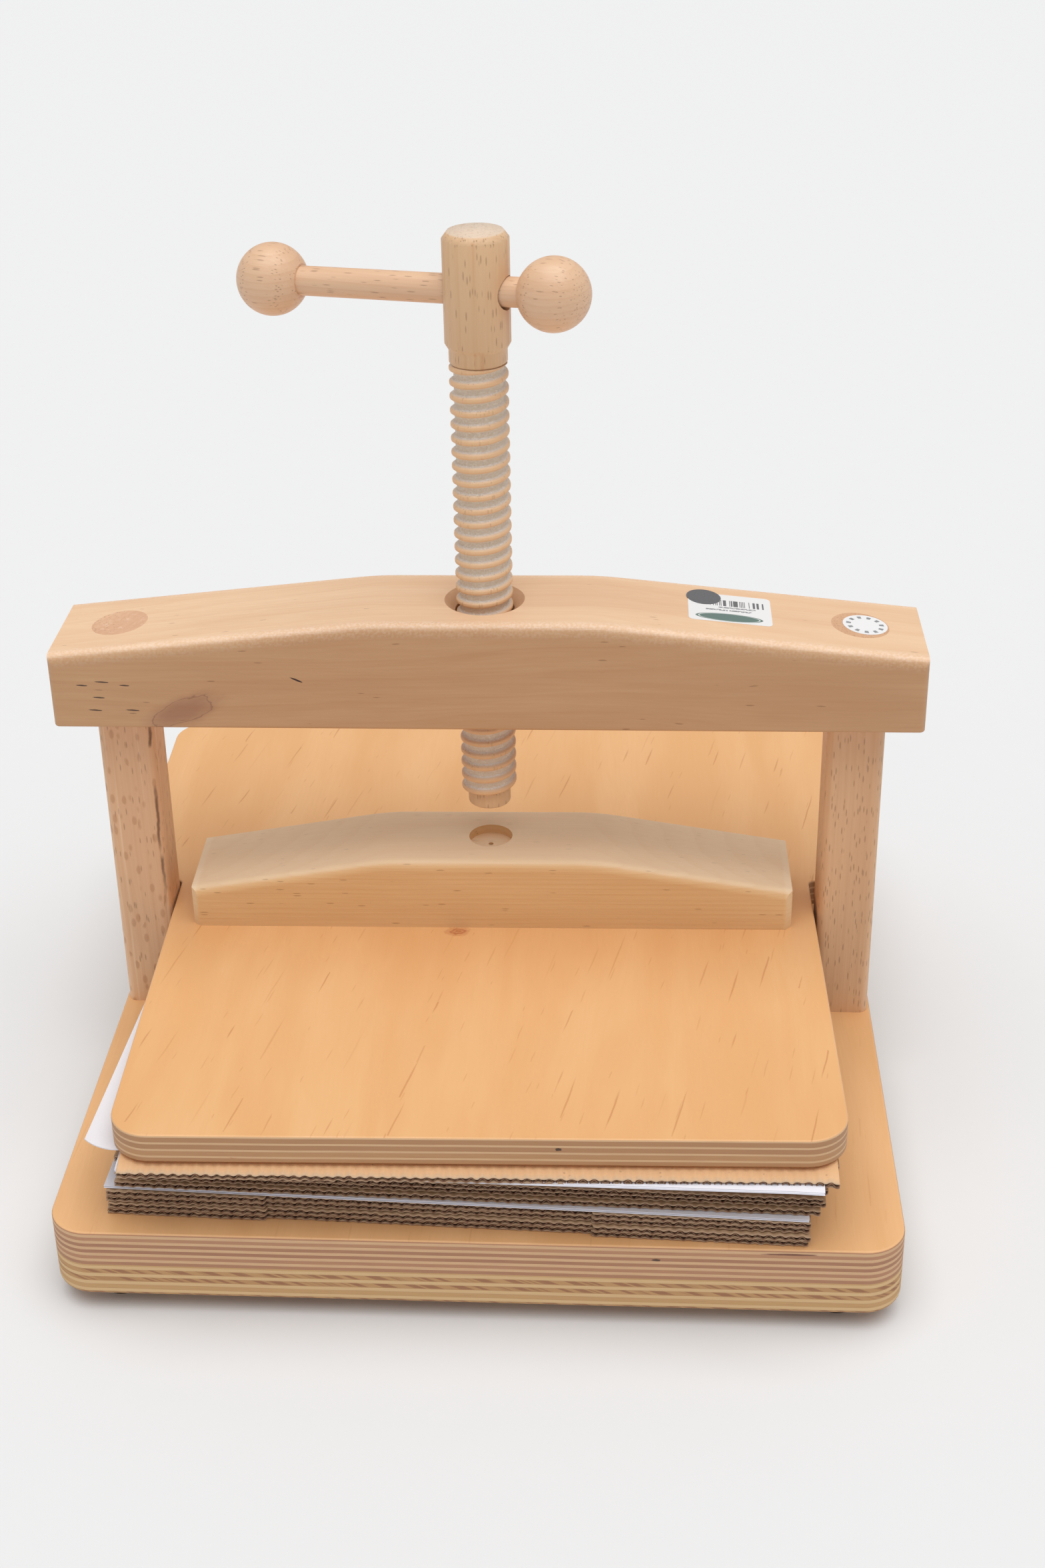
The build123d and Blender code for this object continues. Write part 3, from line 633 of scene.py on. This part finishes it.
def makePlywood(name, marks=()):
    b = boards[name]
    material, tree, shader, place, mapped = startMaterial(name + "Plywood", b["gloss"], (0, 0, -90))
    edge = useGroup(tree, plyEdge, Vector=place, Bottom=b["bottom"], Pitch=b["pitch"], PaleShare=b["pale"],
                    DashSlant=b["slant"], DashShare=0.36)
    band = blendColour(tree, edge["Tone"], b["light"], b["dark"])
    band = blendColour(tree, spread(tree, edge["Fibre"], 0.35, 0.7, 0.0, 0.2), band, b["dark"])
    streak = spread(tree, edge["Fibre"], 0.60, 0.74, 0.0, b["streaks"])
    band = blendColour(tree, streak, band, (0.34, 0.16, 0.115))
    cream = blendColour(tree, spread(tree, edge["Fibre"], 0.3, 0.7, 0.0, 0.3), b["cream"], b["light"])
    band = blendColour(tree, edge["Pale"], band, cream)
    band = blendColour(tree, times(tree, edge["Glue"], 0.35), band, (0.40, 0.20, 0.11))
    notPale = minus(tree, 1.0, times(tree, edge["Pale"], 0.8))
    dashes = times(tree, times(tree, edge["Dash"], notPale), b["dashes"])
    band = blendColour(tree, dashes, band, (0.30, 0.125, 0.065))

    wood = useGroup(tree, solidWood, Vector=mapped, Pith=(0, 0.02, -0.6), RingWidth=0.011, Wander=0.06,
                    Fineness=520.0, PoreAmount=0.06)
    face = blendColour(tree, times(tree, wood["Cloud"], 0.75), b["face"], b["faceDeep"])
    face = blendColour(tree, times(tree, wood["Fibre"], 0.16), face, b["faceDeep"])
    face = blendColour(tree, times(tree, wood["Ring"], 0.14), face, b["faceDeep"])
    dashTurn = math.radians(b["dashTurn"])
    turned = put(tree, "Mapping", {"Vector": place, "Rotation": (0, 0, dashTurn)}).outputs[0]
    thin = useGroup(tree, scatteredDashes, Vector=turned, CellSize=(0.052, 0.017, 1.0), Thin=0.030, Share=0.55,
                    Wander=0.10)
    strength = spread(tree, thin["Chance"], 0.1, 0.9, 0.1, b["faceMarks"])
    face = blendColour(tree, times(tree, thin["Mark"], strength), face, (0.47, 0.17, 0.05))
    short = useGroup(tree, scatteredDashes, Vector=turned, CellSize=(0.018, 0.010, 1.0), Thin=0.035, Share=0.22,
                     Wander=0.1)
    face = blendColour(tree, times(tree, short["Mark"], 0.6 * b["faceMarks"]), face, (0.52, 0.21, 0.07))
    for centre, size, colourHere in marks:
        spotty = useGroup(tree, singleSpot, Vector=place, Centre=centre, Size=size, Turn=0.0, Ragged=1.0)
        rings = maths(tree, "SINE", times(tree, spotty["Reach"], 16.0))
        ringed = maths(tree, "MULTIPLY_ADD", rings, 0.22, 0.6)
        shade = times(tree, spread(tree, spotty["Reach"], 0.45, 1.15, 1.0, 0.0), ringed)
        face = blendColour(tree, shade, face, colourHere)
        band = blendColour(tree, times(tree, spotty["Mark"], 0.9), band, colourHere)
    parts = put(tree, "SeparateXYZ", [put(tree, "NewGeometry").outputs["True Normal"]]).outputs
    flat = spread(tree, maths(tree, "ABSOLUTE", parts[2]), 0.45, 0.75)
    colour = blendColour(tree, flat, band, face)
    tree.links.new(colour, shader.inputs["Base Color"])
    shine = maths(tree, "MULTIPLY_ADD", flat, -0.16, b["gloss"] + 0.2)
    tree.links.new(plus(tree, shine, times(tree, wood["Fibre"], 0.06)), shader.inputs["Roughness"])
    relief = blendColour(tree, flat, edge["Fibre"], times(tree, wood["Fibre"], 0.35))
    addBump(tree, shader, relief, 0.00015)
    return material


platenMarks = [
    ((-0.0150, -0.0300, 0.099), (0.0065, 0.0040, 0.01), (0.42, 0.11, 0.035)),
    ((-0.1592, -0.0326, 0.099), (0.0030, 0.0022, 0.01), (0.45, 0.14, 0.05)),
    ((0.0383, -0.1876, 0.0935), (0.0016, 0.002, 0.0009), (0.03, 0.014, 0.008)),
    ((-0.0993, -0.1876, 0.0876), (0.0035, 0.002, 0.0008), (0.38, 0.09, 0.04)),
]
baseMarks = [
    ((0.137, -0.189, 0.0418), (0.0125, 0.003, 0.0006), (0.20, 0.08, 0.05)),
    ((0.0798, -0.189, 0.0370), (0.0020, 0.003, 0.0007), (0.05, 0.028, 0.02)),
]

# Paper, card and labels

paperColours = {
    "kraft": (0.80, 0.49, 0.255), "kraftDark": (0.64, 0.37, 0.19), "kraftCut": (0.56, 0.42, 0.29),
    "fluteShadeNearCut": (0.25, 0.125, 0.07), "fluteShadeDeep": (0.035, 0.018, 0.012),
    "blotter": (0.80, 0.79, 0.85), "cover": (0.76, 0.745, 0.78),
}


def makeKraft(p):
    material, tree, shader, place, mapped = startMaterial("kraftBoard", 0.82)
    paper = useGroup(tree, paperFibre, Vector=mapped, Size=1500.0)
    stretched = put(tree, "Mapping", {"Vector": mapped, "Scale": (60, 9, 60)}).outputs[0]
    long = put(tree, "TexNoise", {"Vector": stretched, "Scale": 1.0, "Detail": 3.0}).outputs[0]
    colour = blendColour(tree, spread(tree, long, 0.35, 0.65, 0.0, 0.14), p["kraft"], p["kraftDark"])
    colour = blendColour(tree, times(tree, paper["Fibre"], 0.14), colour, p["kraftDark"])
    colour = blendColour(tree, times(tree, paper["Speck"], 0.4), colour, (0.30, 0.16, 0.08))
    cut = put(tree, "Attribute", settings={"attribute_name": "cutEdge"}).outputs["Fac"]
    grey = times(tree, cut, spread(tree, paper["Fibre"], 0.2, 0.8, 0.5, 1.0))
    colour = blendColour(tree, grey, colour, p["kraftCut"])
    # Painted shade inside the flutes: the per-vertex shade value darkens the medium and the liners, darkest
    # deep in from the cut edge
    fluteShade = put(tree, "Attribute", settings={"attribute_name": "fluteShade"}).outputs["Fac"]
    fluteShadeColour = blendColour(tree, spread(tree, cut, 0.35, 1.0), p["fluteShadeDeep"], p["fluteShadeNearCut"])
    colour = blendColour(tree, fluteShade, colour, fluteShadeColour)
    tree.links.new(colour, shader.inputs["Base Color"])
    addBump(tree, shader, paper["Fibre"], 0.00008)
    return material


def makeBlotter(name, tint):
    material, tree, shader, place, mapped = startMaterial(name, 0.9)
    paper = useGroup(tree, paperFibre, Vector=mapped, Size=900.0)
    mottled = blendColour(tree, times(tree, paper["Fibre"], 0.10), tint, (0.72, 0.70, 0.74))
    tree.links.new(blendColour(tree, times(tree, paper["Speck"], 0.06), mottled, (0.5, 0.47, 0.48)),
                   shader.inputs["Base Color"])
    addBump(tree, shader, paper["Fibre"], 0.00006)
    return material


def boxMask(tree, vector, centre, half, soft=0.00015):
    parts = put(tree, "SeparateXYZ", [vector]).outputs
    sides = []
    for axis in (0, 1):
        away = maths(tree, "ABSOLUTE", minus(tree, parts[axis], centre[axis]))
        sides.append(spread(tree, minus(tree, away, half[axis]), -soft, soft, 1.0, 0.0))
    return times(tree, sides[0], sides[1])


labelArt = {
    "slope": 6.1, "bars": ((0.0035, 0.0056), (0.0125, 0.0032)), "barPitch": 0.00036,
    "lines": [((0.0035, 0.0007), (0.0085, 0.0007)), ((-0.0005, -0.0022), (0.0105, 0.0007))],
    "oval": (-0.0005, -0.0098), "ovalSize": (0.0155, 0.0041, 1.0), "green": (0.12, 0.185, 0.16),
}


def makeLabelPaper(a):
    low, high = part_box("paper_label")
    centre = tuple((l + h) / 2 for l, h in zip(low, high))
    material, tree, shader, place, mapped = startMaterial("labelPaper", 0.38, (0, -a["slope"], 0), centre)
    parts = put(tree, "SeparateXYZ", [mapped]).outputs
    paper = useGroup(tree, paperFibre, Vector=mapped, Size=1200.0)
    colour = blendColour(tree, times(tree, paper["Fibre"], 0.05), (0.80, 0.79, 0.78), (0.70, 0.69, 0.68))
    step = maths(tree, "FLOOR", maths(tree, "DIVIDE", parts[0], a["barPitch"]))
    barChance = put(tree, "TexWhiteNoise", {"W": step}, {"noise_dimensions": "1D"}).outputs[0]
    dark = maths(tree, "GREATER_THAN", barChance, 0.48)
    bars = times(tree, boxMask(tree, mapped, *a["bars"]), dark)
    colour = blendColour(tree, times(tree, bars, 0.9), colour, (0.06, 0.06, 0.065))
    for centreHere, half in a["lines"]:
        broken = put(tree, "TexNoise", {"Vector": mapped, "Scale": 900.0}).outputs[0]
        gaps = maths(tree, "GREATER_THAN", broken, 0.44)
        line = times(tree, boxMask(tree, mapped, centreHere, half), gaps)
        colour = blendColour(tree, times(tree, line, 0.85), colour, (0.16, 0.16, 0.17))
    oval = useGroup(tree, singleSpot, Vector=mapped, Centre=(*a["oval"], 0), Size=a["ovalSize"], Turn=0.0,
                    Ragged=0.0)
    colour = blendColour(tree, spread(tree, oval["Reach"], 0.97, 1.02, 1.0, 0.0), colour, a["green"])
    rim = spread(tree, maths(tree, "ABSOLUTE", minus(tree, oval["Reach"], 0.90)), 0.012, 0.03, 1.0, 0.0)
    colour = blendColour(tree, times(tree, rim, 0.8), colour, (0.75, 0.77, 0.75))
    tree.links.new(colour, shader.inputs["Base Color"])
    addBump(tree, shader, paper["Fibre"], 0.00002, 0.3)
    return material


roundArt = {"ring": 0.0076, "ringHalf": (0.0010, 0.0012), "ticks": 11.0}


def makeRoundPaper(a):
    low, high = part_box("round_label")
    centre = tuple((l + h) / 2 for l, h in zip(low, high))
    turn = (0, -labelArt["slope"], 0)
    material, tree, shader, place, mapped = startMaterial("roundStickerPaper", 0.4, turn, centre)
    parts = put(tree, "SeparateXYZ", [mapped]).outputs
    paper = useGroup(tree, paperFibre, Vector=mapped, Size=1200.0)
    colour = blendColour(tree, times(tree, paper["Fibre"], 0.05), (0.82, 0.81, 0.81), (0.72, 0.71, 0.70))
    angle = maths(tree, "ARCTAN2", parts[1], parts[0])
    flat = put(tree, "VectorMath", [mapped, (1, 1, 0)], {"operation": "MULTIPLY"}).outputs[0]
    reach = put(tree, "VectorMath", [flat], {"operation": "LENGTH"}).outputs["Value"]
    ring = spread(tree, maths(tree, "ABSOLUTE", minus(tree, reach, a["ring"])), *a["ringHalf"], 1.0, 0.0)
    ticks = maths(tree, "GREATER_THAN", maths(tree, "SINE", times(tree, angle, a["ticks"])), 0.25)
    colour = blendColour(tree, times(tree, times(tree, ring, ticks), 0.8), colour, (0.13, 0.13, 0.14))
    tree.links.new(colour, shader.inputs["Base Color"])
    addBump(tree, shader, paper["Fibre"], 0.00002, 0.3)
    return material


def makeDotPaper():
    material, tree, shader, place, mapped = startMaterial("greyDotPaper", 0.45)
    paper = useGroup(tree, paperFibre, Vector=mapped, Size=1500.0)
    grey = blendColour(tree, times(tree, paper["Fibre"], 0.5), (0.105, 0.103, 0.108), (0.16, 0.157, 0.162))
    tree.links.new(grey, shader.inputs["Base Color"])
    addBump(tree, shader, paper["Fibre"], 0.00003, 0.4)
    return material


def makeRubber():
    material, tree, shader, place, mapped = startMaterial("footRubber", 0.78)
    grit = put(tree, "TexNoise", {"Vector": mapped, "Scale": 1600.0, "Detail": 3.0})
    black = blendColour(tree, grit.outputs[0], (0.014, 0.013, 0.013), (0.03, 0.028, 0.027))
    tree.links.new(black, shader.inputs["Base Color"])
    addBump(tree, shader, grit.outputs[0], 0.00008)
    return material


def makeZincSteel():
    material, tree, shader, place, mapped = startMaterial("zincSteel", 0.34)
    shader.inputs["Metallic"].default_value = 1.0
    brushed = put(tree, "TexNoise", {"Vector": mapped, "Scale": 700.0, "Detail": 4.0})
    grey = blendColour(tree, brushed.outputs[0], (0.50, 0.50, 0.48), (0.68, 0.67, 0.63))
    tree.links.new(grey, shader.inputs["Base Color"])
    tree.links.new(spread(tree, brushed.outputs[0], 0.3, 0.7, 0.26, 0.46), shader.inputs["Roughness"])
    return material


# Corrugated boards

corrugation = {
    "pitch": 0.0047, "perWave": 8, "liner": 0.00034, "edgeWave": 0.00042, "medium": 0.00030, "inset": 0.0006,
    "rows": (0.0, 0.0010, 0.0025, 0.006, 0.010, 0.014, 0.018, 0.05), "ragged": 0.00022,
}
# The front edge of a sheet that reaches past the stack hangs down a little, more at its right corner
sag = {"start": 0.0145, "drop": 0.0023, "cornerWidth": 0.011, "cornerDrop": 0.0007}


# The slab's front left corner, its two directions and its sizes, read from the CAD node
def slabPlace(name):
    points = [vertex.co.copy() for vertex in nodes[name].data.vertices]
    low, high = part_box(name)
    leftmost = min(points, key=lambda p: (round(p.x, 5), p.y))
    rightmost = max(points, key=lambda p: (round(p.x, 5), p.y))
    front = min(points, key=lambda p: (round(p.y, 5), p.x))
    back = max(points, key=lambda p: (round(p.y, 5), p.x))
    corners = [Vector((p.x, p.y)) for p in (leftmost, front, rightmost, back)]
    corners.sort(key=lambda p: p.y)
    frontPair, backPair = sorted(corners[:2], key=lambda p: p.x), sorted(corners[2:], key=lambda p: p.x)
    along, inward = frontPair[1] - frontPair[0], backPair[0] - frontPair[0]
    turn = math.atan2(along.y, along.x)
    place = Matrix.Translation((frontPair[0].x, frontPair[0].y, low[2])) @ Matrix.Rotation(turn, 4, "Z")
    return place, along.length, inward.length, high[2] - low[2]


def sagAt(x, y, width, amount):
    reach = max(0.0, 1 - y / sag["start"]) ** 1.6
    corner = max(0.0, 1 - (width - x) / sag["cornerWidth"]) ** 2
    return -amount * reach * (sag["drop"] + corner * sag["cornerDrop"])


def makeLayer(bm, width, depth, c, height, thickness, wave, edgeOnly, recess, chance, hang, shade):
    waves = max(1, round(width / c["pitch"]))
    made = bmesh.ops.create_grid(bm, x_segments=waves * c["perWave"], y_segments=len(c["rows"]), size=0.5)
    verts = made["verts"]
    rowEnds = list(c["rows"]) + [depth]
    count = len(c["rows"])
    ragged = [chance.uniform(-1, 1) * c["ragged"] for step in range(waves * 2 + 2)]
    cut, fluteShade = bm.verts.layers.float["cutEdge"], bm.verts.layers.float["fluteShade"]
    for vert in verts:
        across, row = vert.co.x + 0.5, round((vert.co.y + 0.5) * count)
        phase = across * waves
        x = c["inset"] + across * (width - 2 * c["inset"])
        start = c["inset"] + ragged[int(phase * 2)]
        if recess and recess[0] < x < recess[1]:
            start += recess[2]
        y = start + rowEnds[row] if row < count else depth - c["inset"]
        fade = 1.0 if not edgeOnly else max(0.0, 1 - rowEnds[row] / 0.012)
        z = height + wave * fade * math.sin(2 * math.pi * phase)
        vert.co = (x, y, z + sagAt(x, y, width, hang))
        vert[cut] = max(0.0, 1 - rowEnds[row] / 0.003)
        vert[fluteShade] = shade
    faces = list({face for vert in verts for face in vert.link_faces})
    bmesh.ops.solidify(bm, geom=faces, thickness=thickness)


def makeCorrugated(node, kraft, recess=None, seed=1, hang=0.0):
    c = corrugation
    place, width, depth, thick = slabPlace(node)
    chance = random.Random(seed)
    bm = bmesh.new()
    bm.verts.layers.float.new("cutEdge")
    bm.verts.layers.float.new("fluteShade")
    swing = thick / 2 - c["liner"] - c["medium"] / 2 - 0.0001
    # The last value of each layer is its share of painted flute shade: medium 1.0, lower liner 0.45, upper
    # liner 0.3, or none when the board hangs
    makeLayer(bm, width, depth, c, thick / 2, c["medium"], swing, False, recess, chance, hang, 1.0)
    low = c["liner"] + c["edgeWave"] * 0.9
    makeLayer(bm, width, depth, c, low, c["liner"], c["edgeWave"] * 0.7, True, recess, chance, hang, 0.45)
    top = thick - c["liner"] - c["edgeWave"] * 0.6
    topShade = 0.0 if hang else 0.3
    makeLayer(bm, width, depth, c, top, c["liner"], c["edgeWave"], True, recess, chance, hang, topShade)
    bmesh.ops.transform(bm, matrix=place, verts=bm.verts[:])
    bmesh.ops.recalc_face_normals(bm, faces=bm.faces[:])
    mesh = bpy.data.meshes.new(node + "Fluted")
    bm.to_mesh(mesh)
    bm.free()
    mesh.polygons.foreach_set("use_smooth", [True] * len(mesh.polygons))
    mesh.materials.append(kraft)
    piece = bpy.data.objects.new(node + "Fluted", mesh)
    bpy.context.collection.objects.link(piece)
    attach(piece, "sheet_stack")
    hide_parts(node)
    return piece


# Blotters, each a few thin sheets

blotterPlies = {"sheets": 3, "thickness": 0.00022, "slip": 0.0009}


def makeBlotterStack(node, paper, seed, back, hang=0.0):
    b = blotterPlies
    place, width, depth, thick = slabPlace(node)
    chance = random.Random(seed)
    bm = bmesh.new()
    for layer in range(b["sheets"]):
        made = bmesh.ops.create_grid(bm, x_segments=24, y_segments=120, size=0.5)
        slipX, slipY = chance.uniform(0, b["slip"]), chance.uniform(0, b["slip"])
        level = (layer + 0.5) * thick / b["sheets"]
        for vert in made["verts"]:
            across, deep = vert.co.x + 0.5, vert.co.y + 0.5
            x, y = slipX + across * (width - b["slip"]), back + slipY + deep * (depth - back - b["slip"])
            vert.co = (x, y, level + b["thickness"] / 2 + sagAt(x, y, width, hang))
        faces = list({face for vert in made["verts"] for face in vert.link_faces})
        bmesh.ops.solidify(bm, geom=faces, thickness=b["thickness"])
    bmesh.ops.transform(bm, matrix=place, verts=bm.verts[:])
    bmesh.ops.recalc_face_normals(bm, faces=bm.faces[:])
    mesh = bpy.data.meshes.new(node + "Sheets")
    bm.to_mesh(mesh)
    bm.free()
    mesh.materials.append(paper)
    piece = bpy.data.objects.new(node + "Sheets", mesh)
    bpy.context.collection.objects.link(piece)
    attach(piece, "sheet_stack")
    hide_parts(node)
    return piece


# Floor


def makeFloor(s):
    bm = bmesh.new()
    bmesh.ops.create_grid(bm, x_segments=2, y_segments=2, size=s["floorSize"] / 2)
    mesh = bpy.data.meshes.new("studioFloor")
    bm.to_mesh(mesh)
    bm.free()
    floor = bpy.data.objects.new("studioFloor", mesh)
    bpy.context.collection.objects.link(floor)
    material, tree, shader, place, mapped = startMaterial("studioFloorPaper", 1.0)
    shader.inputs["Specular IOR Level"].default_value = 0.1
    paper = put(tree, "TexNoise", {"Vector": mapped, "Scale": 60.0, "Detail": 2.0})
    dim = tuple(value * 0.99 for value in s["floorColour"])
    tree.links.new(blendColour(tree, paper.outputs[0], s["floorColour"], dim), shader.inputs["Base Color"])
    mesh.materials.append(material)


makeCamera(view)
makeLights(studio)
makeFloor(studio)
print("stage: camera, lights and floor")

dress(makeBeamWood(beamMarks), "top_beam")
dress(makePostWood("leftPost", postCrack), "left_post")
dress(makePostWood("rightPost"), "right_post")
makeScrew(thread, makeScrewWood(screwPaint))
dress(makeHandleWood(), "handle_bar", "left_knob", "right_knob")
dress(makeBarWood(), "pressing_bar")
dress(makePlywood("platen", platenMarks), "platen")
dress(makePlywood("upperBase", baseMarks), "base_upper_board")
dress(makePlywood("lowerBase"), "base_lower_board")
dress(makeBlotter("coverPaper", paperColours["cover"]), "cover_sheet")
dress(makeLabelPaper(labelArt), "paper_label")
dress(makeRoundPaper(roundArt), "round_label")
dress(makeDotPaper(), "grey_dot")
dress(makeRubber(), "foot_front_left", "foot_front_right", "foot_back_left", "foot_back_right")
dress(makeZincSteel(), "foot_screws", "post_screws", "post_washers", "thrust_button")
print("stage: finishes")

kraft = makeKraft(paperColours)
for layer in range(1, 5):
    makeCorrugated(f"lower_board_{layer}", kraft, recess=(0.071, 0.213, 0.0016), seed=10 + layer)
for layer in range(1, 7):
    makeCorrugated(f"middle_board_{layer}", kraft, seed=20 + layer)
makeCorrugated("top_board", kraft, seed=30, hang=1.0)
blotterPaper = makeBlotter("blotterPaper", paperColours["blotter"])
makeBlotterStack("lower_blotter", blotterPaper, 41, 0.0010)
makeBlotterStack("upper_blotter", blotterPaper, 42, 0.0022, hang=0.85)
print("stage: sheets")
